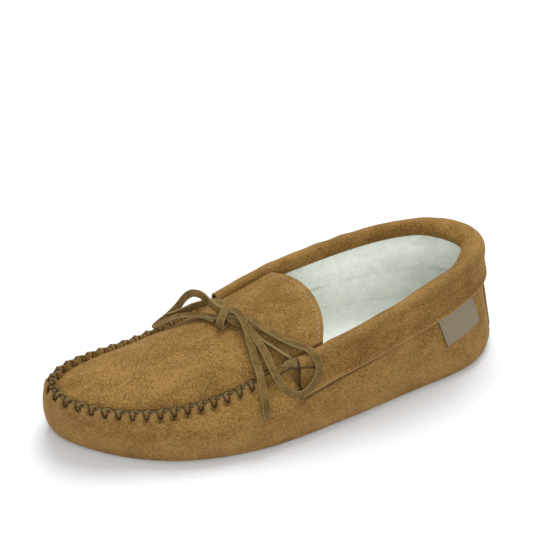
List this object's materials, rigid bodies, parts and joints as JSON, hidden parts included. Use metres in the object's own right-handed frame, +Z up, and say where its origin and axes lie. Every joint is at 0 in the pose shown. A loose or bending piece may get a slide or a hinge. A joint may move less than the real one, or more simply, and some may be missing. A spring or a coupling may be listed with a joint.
{
  "type": "moccasin",
  "caption": "Soft-soled suede slipper with a gathered vamp seam, padded cuff, fleece lining and a leather lace tied in a bow over a liftable tongue.",
  "frame": {"origin": "on the floor under the middle of the foot's length", "axes": "-X towards the toe, +X towards the heel, -Y towards the outer side of the foot, +Z up"},
  "size_m": [0.2864, 0.1094, 0.0785],
  "materials": {
    "suede": "napped suede, matt",
    "cuff_suede": "napped suede, matt, darker",
    "fleece": "soft pile",
    "foam": "open-cell foam",
    "woven_label": "woven, matt",
    "brown_thread": "waxed thread",
    "tan_thread": "twisted thread",
    "pale_thread": "twisted thread",
    "lace_leather": "cut suede thong, matt"
  },
  "bodies": {
    "slipper": {"shell": "suede", "heel_strip": "suede", "vamp_plug": "suede", "vamp_lining": "fleece", "cuff": "cuff_suede", "cuff_padding": "foam", "side_lining": "fleece", "sole_pad": "foam", "insole": "fleece", "vamp_stitching": "brown_thread", "cuff_stitching": "tan_thread", "lace_thong": "lace_leather", "lace_knot": "lace_leather", "lace_loop_near": "lace_leather", "lace_loop_far": "lace_leather", "lace_tail_near": "lace_leather", "lace_tail_far": "lace_leather"},
    "tongue_flap": {"tongue": "suede", "tongue_lining": "fleece", "tongue_stitching": "pale_thread"},
    "label_flap": {"label": "woven_label"}
  },
  "joints": [
    {"name": "tongue_lift", "type": "hinge", "parent": "slipper", "child": "tongue_flap", "pos_m": [0.002, 0, 0.057], "axis": [0, -1, 0], "range_deg": [0, 35]},
    {"name": "label_lift", "type": "hinge", "parent": "slipper", "child": "label_flap", "pos_m": [0.1056, -0.02714, 0.04876], "axis": [-0.9238, -0.3558, -0.1414], "range_deg": [0, 80]}
  ]
}
